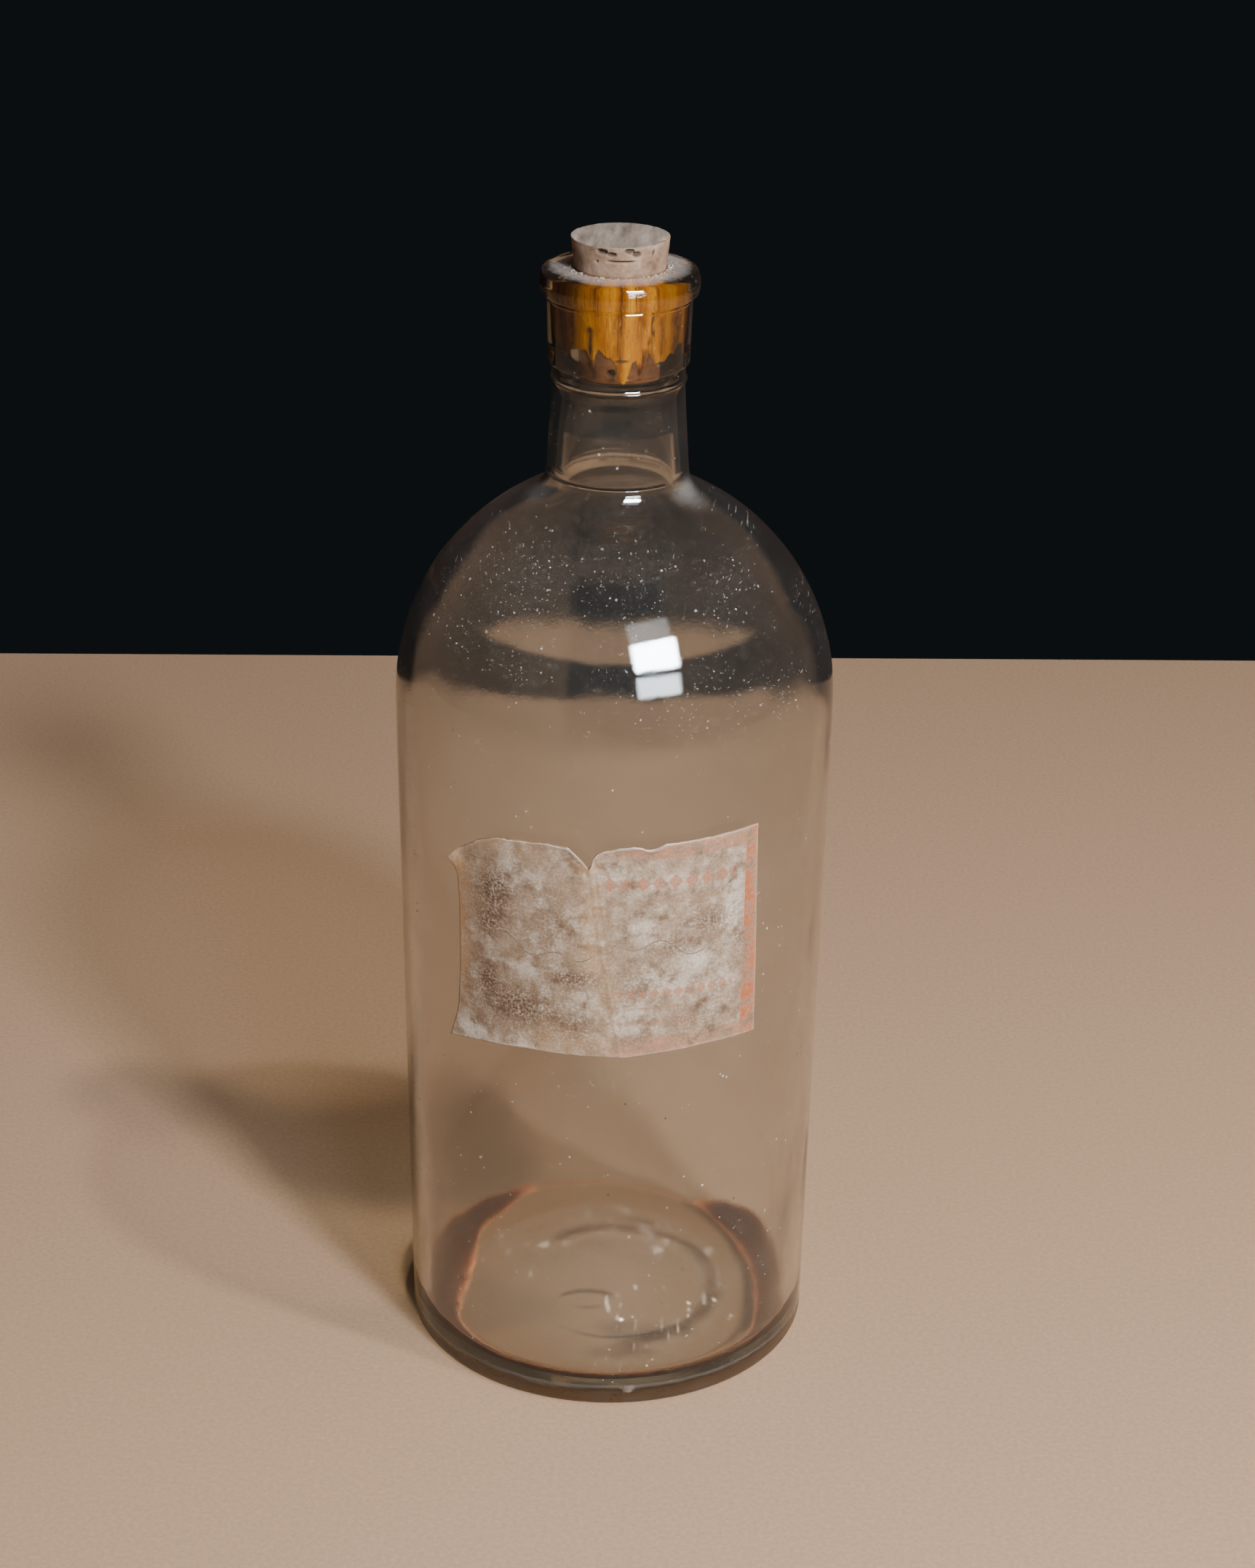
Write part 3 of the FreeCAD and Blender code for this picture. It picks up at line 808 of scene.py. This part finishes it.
# Dark stains: (angle, half angle, foot, top, strength).
CORK_STAINS = (
    (-31, 4, 298.5, 313.5, 1), (-57, 4.5, 307, 319, 0.75), (-75, 8, 300, 316, 0.8),
    (-3, 0.9, 310.5, 316, 0.7), (1.5, 0.7, 302, 319, 0.55), (4.5, 0.6, 299, 318, 0.7),
    (7, 0.5, 303, 314, 0.5), (41.5, 2.6, 311, 318.5, 0.95), (37.5, 2, 308.5, 311, 0.9),
    (30, 4, 300, 303.5, 0.85), (34, 6, 303.5, 307.5, 0.75), (55, 3.5, 305, 316, 0.65),
    (80, 10, 299, 318, 0.9), (-8, 5, 298, 300.2, 0.6), (20, 6, 297.5, 299.8, 0.6),
    (-48, 1.5, 318, 326, 0.6), (-36, 1, 317, 326, 0.5), (24, 0.8, 316, 326, 0.45),
    (46, 1.8, 316, 326, 0.7), (130, 6, 300, 314, 0.9), (-150, 9, 302, 318, 0.8),
    (165, 3, 306, 320, 0.7), (-115, 5, 304, 316, 0.8),
)


def cork_pits(points, height, angle):
    """How far each point lies in a pit, from 0 to 1, for the shade painted into the pits, and how deep the
    pits are there.
    """
    pit_shade, depth = np.zeros(len(points)), np.zeros(len(points))
    ragged = 1.35 + 0.35 * layered_noise(points, 1.6, 97, 2)
    for middle, level, wide, tall, deep in CORK_PITS:
        away = (turn_apart(angle, middle) / wide) ** 2 + ((height - level) / tall) ** 2
        pit = smooth_step(ragged - away, 0, 0.8)
        depth += pit * deep
        pit_shade = np.maximum(pit_shade, pit * 0.8)
    return pit_shade, depth


def cork_stains(points, height, angle):
    stain = np.zeros(len(points))
    wander = angle + 2.2 * lattice_noise(points * (0.2, 0.2, 1), 0.35, 105)
    for middle, half, low, high, strength in CORK_STAINS:
        band = smooth_step(height, low - 0.8, low + 0.8) * smooth_step(height, high + 0.8, high - 0.8)
        stain = np.maximum(stain, strength * band * bell(turn_apart(wander, middle), half))
    return np.clip(stain * (1 + 0.6 * layered_noise(points, 0.8, 106, 2)), 0, 1)


def cork_stopper():
    segments = 288
    side = rounded([
        (0, CORK_FOOT, 0),
        (CORK_FOOT_RADIUS, CORK_FOOT, CORK_EDGE),
        (CORK_RIM_RADIUS, RIM, 0),
        (CORK_TOP_RADIUS, CORK_TOP, CORK_EDGE * 0.6),
        (0, CORK_TOP, 0),
    ], 0.27)
    points, normals = lathe_rows(side[1:-1], segments)
    radius = np.hypot(points[:, 0], points[:, 1])
    height = points[:, 2]
    angle = facing(points)
    on_side = smooth_step(np.hypot(normals[:, 0], normals[:, 1]), 0.5, 0.9)
    round_about = points * (1, 1, 0)
    foot_of_press = PRESSED_FOOT + 1.2 * lattice_noise(round_about, 0.16, 91)
    for middle, half, drop in PRESSED_DIPS:
        foot_of_press -= drop * bell(turn_apart(angle, middle), half)
    foot_of_press += 2.4 * layered_noise(points * (1, 1, 0.3), 0.55, 92, 3)
    pressed = smooth_step(height, foot_of_press - 0.35, foot_of_press + 0.35)
    pressed = pressed * (1 - smooth_step(height, RIM - 1.1, RIM - 0.3)) * on_side
    rough = 0.05 * layered_noise(points, 1.2, 93, 2) + 0.07 * lattice_noise(points, 0.35, 95)
    rough = np.minimum(rough * (1 - pressed), np.where(height < RIM, 0.02, 0.2))
    push = pressed * (bore_radius(height) + CORK_BULGE - radius) + rough
    pit_shade, depth = cork_pits(points, height, angle)
    pit_shade, depth = pit_shade * on_side, depth * on_side
    push -= depth * (1 - pressed)
    on_top = smooth_step(height, CORK_TOP - 0.1, CORK_TOP) * (1 - on_side)
    grain = lattice_noise(points * (1, 0.25, 1), 0.9, 99)
    push += on_top * (0.1 * grain - 0.1 + 0.05 * layered_noise(points, 1.5, 100, 2))
    chip = spot(points, (12.6, -2, CORK_TOP), (1.9, 2.4, 1.1)) * smooth_step(radius, 10.8, 11.8)
    push = push - 0.9 * chip * (0.6 + 0.4 * layered_noise(points, 1.5, 103, 2))
    stain = cork_stains(points, height, angle)
    points = points + normals * push[:, None]
    masks = {"pressed": pressed, "stain": stain, "pit_shade": pit_shade}
    points, faces, masks = with_poles(points, segments, CORK_FOOT, CORK_TOP - 0.1, masks)
    piece = mesh_piece("cork", points, faces, cork_material(), masks)
    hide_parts("cork_stopper")
    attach(piece, CORK_BODY)


# -------- label, paste and residue

# The label, flat, in millimetres: across from its middle and height above the table. Its top and
# bottom edges are (across, height) points; its side edges and its crease are (height, across).
LABEL_EDGE = -47
LABEL_WIDTH = 94.5
PAPER_THICKNESS = 0.13
LABEL_TOP = ((-46.6, 171.4), (-44, 174.2), (-41, 176.2), (-36, 179.3), (-30, 181.4), (-22, 182),
             (-15, 182.4), (-9, 181.7), (-5.8, 178.9), (-3.1, 175.6), (-2.2, 177.6), (-1.9, 179.3),
             (-0.6, 180.9), (3.5, 182), (9.6, 182.7), (11.4, 182.4), (13.2, 181.5), (15.6, 181.9),
             (18.1, 183), (25.7, 183.3), (36, 183.6), (46.2, 184))
LABEL_BOTTOM = ((-47.6, 114.6), (-36, 116.3), (-22.7, 117.7), (-8.2, 117.9), (5.2, 117.8), (6.4, 117.6),
                (16.8, 118.6), (30, 119.3), (47.8, 118.9))
LABEL_LEFT = ((114.6, -47.6), (119, -46.4), (125.5, -45), (140, -44), (158, -44), (166, -44.6),
              (171.4, -46.6))
LABEL_RIGHT = ((118.9, 47.8), (142, 47.4), (184, 46.2))
LABEL_CREASE = ((117.6, 5.9), (132, 3.6), (150, 0.6), (176, -3))
# Marks on the paper: (across, height, half width, half height, strength).
SMUDGES = (
    (-31, 165, 5.5, 5.5, 0.95), (-33, 155, 4, 4, 0.75), (-8, 142, 7, 3, 0.75),
    (-24, 131, 11, 6, 0.75), (-14, 158, 6, 8, 0.35), (-34, 138, 4, 6, 0.6),
    (31, 158, 7, 3.2, 0.6), (20, 151, 6, 3, 0.45), (10, 141, 5, 4, 0.35),
    (28, 130, 8, 4, 0.3), (-7, 127, 6, 5, 0.45), (40, 150, 3, 5, 0.3)
)
# Faded spots of the paper; the spot at across -40, height 119.5 is a painted highlight on the lifted
# lower-left corner, where it catches the light.
BLEACHED_AND_LIT = (
    (38.5, 161, 3.2, 9, 0.95), (27, 146.5, 6, 3.5, 0.9), (11, 157, 4, 4, 0.55),
    (15.5, 141.5, 6, 2.5, 0.7), (7, 129, 4.5, 5, 0.75), (-3, 136, 2.5, 4, 0.5),
    (-20, 142.5, 4, 2.5, 0.55), (-40, 119.5, 6, 3.5, 0.95), (-26, 118.5, 10, 1.6, 0.8),
    (4, 175, 6, 4, 0.4), (-27, 173, 4, 7, 0.35), (24, 138, 5, 3, 0.55),
    (20, 172, 9, 3, 0.45), (0.5, 153.5, 1.3, 1, 0.9), (36, 140, 4, 4, 0.5)
)
TONED = (
    (-45, 148, 4.2, 19, 1.2), (-43, 168, 4, 6, 0.5), (-2.5, 163, 3.2, 12, 0.55),
    (-1.5, 147, 4, 5, 0.5), (-30, 179, 12, 2, 0.45), (-4, 177, 2.5, 2.5, 0.8),
    (2, 136, 3, 8, 0.4), (-10, 122, 12, 5, 0.4)
)
PAPER_MARKS = (("smudge", SMUDGES), ("bleach_and_lit_corner", BLEACHED_AND_LIT), ("toned", TONED))


def along_points(value, pairs):
    """Height or place along an outline given as pairs, straight from each point to the next."""
    table = np.array(pairs)
    return np.interp(value, table[:, 0], table[:, 1])


def flat_points(across, height=0):
    """Flat places as an (n, 3) array for the noise."""
    return np.stack(np.broadcast_arrays(across, height, 0.0), axis=1)


def label_grid(columns, rows, outset=0):
    """Flat places of a sheet with the label's torn outline: share across, share up, across, height."""
    share, rise = np.meshgrid(np.linspace(0, 1, columns), np.linspace(0, 1, rows))
    share, rise = share.ravel(), rise.ravel()
    nominal = LABEL_EDGE + LABEL_WIDTH * share
    strand = flat_points(nominal)
    torn = 0.32 * layered_noise(strand, 0.9, 201, 3) * smooth_step(nominal, 47, 36)
    top = along_points(nominal, LABEL_TOP) + torn + outset
    low = along_points(nominal, LABEL_BOTTOM) + 0.14 * layered_noise(strand, 0.7, 203, 3) - outset
    height = low + rise * (top - low)
    strand = flat_points(height)
    left = along_points(height, LABEL_LEFT) + 0.22 * layered_noise(strand, 0.6, 205, 3) - outset
    right = along_points(height, LABEL_RIGHT) + 0.1 * layered_noise(strand, 0.9, 207, 3) + outset
    across = left + share * (right - left)
    return share, rise, across, height


def on_the_wall(across, height, stand_off):
    """Points at flat places on the bottle's wall, standing off the glass by a distance."""
    turn = across / SHOULDER_RADIUS
    radius = outer_wall_radius(height)
    wall = np.stack([radius * np.sin(turn), -radius * np.cos(turn), height], axis=1)
    outward = np.stack([np.sin(turn), -np.cos(turn), np.zeros_like(turn)], axis=1)
    return wall + outward * (outer_ripple(wall) + stand_off)[:, None]


def sheet_faces(columns, rows):
    return [(row * columns + column, row * columns + column + 1,
             (row + 1) * columns + column + 1, (row + 1) * columns + column)
            for row in range(rows - 1) for column in range(columns - 1)]


def closed_sheet(front, back, faces, rims):
    """A closed sheet from its front and back points, the front's faces and the loops of its rims."""
    size = len(front)
    back_faces = [tuple(size + corner for corner in face[::-1]) for face in faces]
    sides = [(start, size + start, size + after, after)
             for rim in rims for start, after in zip(rim, rim[1:] + rim[:1])]
    return np.concatenate([front, back]), faces + back_faces + sides


def slab(front, back, columns, rows):
    """A closed sheet from front and back points that both stand in the order of label_grid."""
    rim = list(range(columns - 1))
    rim += [row * columns + columns - 1 for row in range(rows - 1)]
    rim += [(rows - 1) * columns + column for column in range(columns - 1, 0, -1)]
    rim += [row * columns for row in range(rows - 1, 0, -1)]
    return closed_sheet(front, back, sheet_faces(columns, rows), [rim])


def blots(across, height, places):
    """Sum of soft spots, each (across, height, half width, half height, strength)."""
    return sum(strength * np.exp(-((across - x) / wide) ** 2 - ((height - z) / tall) ** 2)
               for x, z, wide, tall, strength in places)


def label_relief(across, height, flat):
    """How far the paper lifts off the glass: curled corners, torn edges, the crease and cockling."""
    below_top = along_points(across, LABEL_TOP) - height
    above_low = height - along_points(across, LABEL_BOTTOM)
    lift = 0.1 + 0.1 * layered_noise(flat, 0.11, 211, 2) + 0.05 * layered_noise(flat, 0.5, 213, 2)
    lift += blots(across, height, ((-47, 171.5, 3.2, 3.5, 1.9), (-47.5, 114.5, 6, 5, 0.9)))
    lift += 0.75 * bell(across + 7, 3.6) * from_edge(below_top, 1.6)
    lift += 0.7 * bell(across - 12, 5.5) * from_edge(below_top, 0.9)
    lift += 0.35 * bell(across + 36, 9) * from_edge(below_top, 1.2)
    lift += 0.16 * from_edge(below_top, 0.8) + 0.1 * from_edge(above_low, 0.8)
    crease = across - along_points(height, LABEL_CREASE)
    lift += 0.22 * bell(crease, 0.7) + 0.14 * bell(crease - 1.6, 0.6)
    return np.maximum(lift, 0.06)


def paper_label():
    columns, rows = 236, 168
    share, rise, across, height = label_grid(columns, rows)
    flat = flat_points(across, height)
    lift = label_relief(across, height, flat)
    front = on_the_wall(across, height, lift + PAPER_THICKNESS)
    back = on_the_wall(across, height, np.maximum(lift, 0.05))
    points, faces = slab(front, back, columns, rows)
    below_top = along_points(across, LABEL_TOP) - height
    edge = np.minimum(np.minimum(share, 1 - share) * 95, np.minimum(below_top, rise * 65))
    torn = from_edge(edge, 0.35)
    masks = {name: blots(across, height, places) for name, places in PAPER_MARKS}
    masks.update({"torn": torn, "across": across, "up": height})
    masks = {name: np.tile(values, 2) for name, values in masks.items()}
    masks["reverse"] = np.repeat([0, 1], columns * rows)
    piece = mesh_piece("label", points, faces, label_material(), masks)
    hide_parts("paper_label")
    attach(piece, GLASS_BODY)


def label_paste():
    """Dried gum behind the label: it shows as a thin brown line where the paper has shrunk or torn."""
    columns, rows = 120, 84
    share, rise, across, height = label_grid(columns, rows, outset=0.12)
    flat = flat_points(across, height)
    thick = 0.035 + 0.012 * layered_noise(flat, 0.5, 221, 2)
    front = on_the_wall(across, height, thick)
    back = on_the_wall(across, height, np.full_like(across, -0.01))
    points, faces = slab(front, back, columns, rows)
    piece = mesh_piece("dried_gum", points, faces, paste_material())
    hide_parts("label_paste")
    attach(piece, GLASS_BODY)


def dried_residue():
    """The crust of dried medicine in the corner of the floor, wide at the sides and thin in front."""
    steps, turns = 26, 420
    run = rounded([
        (INNER_SHOULDER_RADIUS, SHOULDER_HEIGHT + 0.9, 0),
        (FLOOR_RADIUS, FLOOR_EDGE_HEIGHT, FLOOR_ROUND),
        (0, FLOOR_CENTRE_HEIGHT, 0),
    ], 0.25)[::-1]
    length = np.concatenate([[0], np.cumsum(np.hypot(*np.diff(run, axis=0).T))])
    corner = np.interp(FLOOR_RADIUS - FLOOR_ROUND * 0.4, run[:400, 0], length[:400])
    angle = np.linspace(-180, 180, turns, endpoint=False)
    ring = np.stack([np.cos(np.radians(angle)), np.sin(np.radians(angle)), np.zeros(turns)], axis=1) * 50
    wide = 1.3 + 12.5 * bell(turn_apart(angle, -94), 32) + 9.5 * bell(turn_apart(angle, 108), 32)
    wide += 2.5 * bell(turn_apart(angle, -60), 25) + 3 * bell(turn_apart(angle, 75), 22)
    wide *= 1 - 0.93 * smooth_step(np.abs(angle), 138, 152)
    wide = wide * (1 + 0.22 * layered_noise(ring, 0.1, 231, 3)) + 0.25 * layered_noise(ring, 0.5, 233, 2)
    wide = np.maximum(wide, 0.15)
    inner_side = corner - wide * 0.75
    outer_side = corner + 2 + wide * 0.55 + 0.5 * layered_noise(ring, 0.35, 235, 3)
    outer_side = np.where(np.abs(angle) > 150, corner + 0.4, outer_side)
    share = np.linspace(0, 1, steps)
    place = inner_side[None, :] + share[:, None] * (outer_side - inner_side)[None, :]
    run_along = np.gradient(run, axis=0)
    run_along /= np.linalg.norm(run_along, axis=1)[:, None]
    radius = np.interp(place, length, run[:, 0])
    height = np.interp(place, length, run[:, 1])
    into_room = (-np.interp(place, length, run_along[:, 1]), np.interp(place, length, run_along[:, 0]))
    swell = np.sin(math.pi * share)[:, None] ** 0.7
    turn = np.radians(angle)[None, :]

    def shell(depth):
        across = radius + into_room[0] * depth
        level = height + into_room[1] * depth
        return np.stack([across * np.sin(turn), -across * np.cos(turn), level], axis=2)

    plain = shell(0).reshape(-1, 3)
    crust = (0.1 + 0.35 * swell) * (1 + 0.5 * layered_noise(plain, 0.5, 237, 3).reshape(radius.shape))
    ripple = inner_ripple(plain).reshape(radius.shape) * 1.2
    front = shell(crust + ripple).reshape(-1, 3)
    back = shell(ripple - 0.06).reshape(-1, 3)
    inner_rim = list(range(turns))
    outer_rim = [(steps - 1) * turns + step for step in reversed(inner_rim)]
    points, faces = closed_sheet(front, back, lathe_faces(steps, turns), [inner_rim, outer_rim])
    deep = np.tile((swell * np.minimum(wide / 5, 1)[None, :]).ravel(), 2)
    piece = mesh_piece("residue", points, faces, residue_material(), {"deep": deep})
    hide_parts("dried_residue")
    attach(piece, GLASS_BODY)


def lip_crumbs():
    """Crumbs of cork and dust caught in the angle between the cork and the lip."""
    random = np.random.default_rng(311)
    parts = []
    for _ in range(110):
        turn = random.uniform(0, 2 * math.pi)
        out = 12.9 + abs(random.normal(0, 1.3))
        size = random.uniform(0.08, 0.26)
        level = RIM - 0.1 + size * 0.6
        centre = (out * math.cos(turn), out * math.sin(turn), level)
        parts.append(small_ball(centre, size, rings=4, segments=6))
    points, faces = joined(parts)
    points = points + 0.05 * np.random.default_rng(312).normal(size=points.shape)
    piece = mesh_piece("lip_crumbs", points, faces, crumb_material())
    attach(piece, GLASS_BODY)


# -------- floor, light and camera

def floor():
    """A plain table top that ends behind the bottle, with a small grain so that it isn't one flat tone."""
    half_width, front_edge, back_edge, slant = 1400, -1500, 527, 95
    points = [(-half_width, front_edge, 0), (half_width, front_edge, 0),
              (half_width, back_edge + slant, 0), (-half_width, back_edge - slant, 0)]
    piece = mesh_piece("floor", points, [(0, 1, 2, 3)], floor_material(), smooth=False)


LAMP_AIM = 0.18


def area_lamp(name, shape, width, height, watts, colour):
    data = bpy.data.lights.new(name, "AREA")
    data.shape = shape
    data.size, data.size_y = width, height
    data.energy = watts
    data.color = colour
    lamp = bpy.data.objects.new(name, data)
    lamp.visible_transmission = False
    bpy.context.collection.objects.link(lamp)
    return lamp


def soft_light(name, azimuth, elevation, distance, width, height, watts, colour,
               seen=True, lights_up=True):
    """A soft box aimed at the middle of the bottle; azimuth is measured from the label's middle.
    One that isn't seen makes no highlight. One that doesn't light up only makes a highlight."""
    lamp = area_lamp(name, "RECTANGLE", width, height, watts, colour)
    turn, lift = math.radians(azimuth), math.radians(elevation)
    back = Vector((math.sin(turn) * math.cos(lift), -math.cos(turn) * math.cos(lift), math.sin(lift)))
    lamp.location = Vector((0, 0, LAMP_AIM)) + back * distance
    lamp.rotation_euler = back.to_track_quat("Z", "Y").to_euler()
    lamp.visible_glossy = seen
    lamp.visible_diffuse = lights_up
    if not lights_up:
        lamp.data.cycles.max_bounces = 0


def gathered_light():
    """The light that the bottle's glass gathers on the table under its floor, as one faint soft disc."""
    lamp = area_lamp("gathered", "DISK", 0.075, 0.075, 0.3, (1, 0.92, 0.78))
    lamp.location = (-0.002, -0.004, 0.018)
    lamp.visible_camera = False
    lamp.visible_glossy = False


def lights():
    daylight = (0.84, 0.93, 1)
    warm = (1, 0.78, 0.62)
    panes = (("top", 25.5, 45.9, 0.43, 0.2, 0.3, 1.2), ("middle", 26.5, 34.5, 0.453, 0.26, 6, 100),
             ("sill", 26.5, 20.8, 0.453, 0.18, 1.5, 10))
    for name, azimuth, elevation, width, height, watts, glint in panes:
        at = (azimuth, elevation)
        soft_light("window_" + name, *at, 1.2, width, height, watts, daylight)
        soft_light("glint_" + name, *at, 1.19, width, height, glint, daylight, lights_up=False)
    soft_light("key", 31.6, 39, 1.2, 0.12, 0.1, 18.5, (1, 0.94, 0.88), seen=False)
    soft_light("second", 56.3, 60.5, 1.8, 0.07, 0.07, 15, (1, 0.92, 0.82), seen=False)
    soft_light("side_fill", 78, 42, 1.6, 1, 0.8, 2.5, warm, seen=False)
    soft_light("room_fill", 0, 75, 2.4, 2.4, 2.4, 4.5, warm, seen=False)
    gathered_light()
    world = bpy.data.worlds.new("studio")
    world.use_nodes = True
    background = world.node_tree.nodes["Background"]
    background.inputs["Color"].default_value = (0.0055, 0.0075, 0.0085, 1)
    background.inputs["Strength"].default_value = 1
    bpy.context.scene.world = world


def camera():
    """The photograph's view: a long lens a little above the cork, looking down on the bottle."""
    distance, height = 0.8606, 0.5619
    turn, pitch, roll, heading = np.radians((2.75, 24.28, 0.864, -0.27)).tolist()
    data = bpy.data.cameras.new("camera")
    data.sensor_width = 36
    data.lens = 75.14
    viewer = bpy.data.objects.new("camera", data)
    viewer.location = (distance * math.sin(turn), -distance * math.cos(turn), height)
    aim = Matrix.Rotation(turn + heading, 4, "Z") @ Matrix.Rotation(math.pi / 2 - pitch, 4, "X")
    viewer.rotation_euler = (aim @ Matrix.Rotation(roll, 4, "Z")).to_euler()
    bpy.context.collection.objects.link(viewer)
    bpy.context.scene.camera = viewer


floor()
lights()
camera()
glass_bottle()
cork_stopper()
lip_crumbs()
label_paste()
paper_label()
dried_residue()
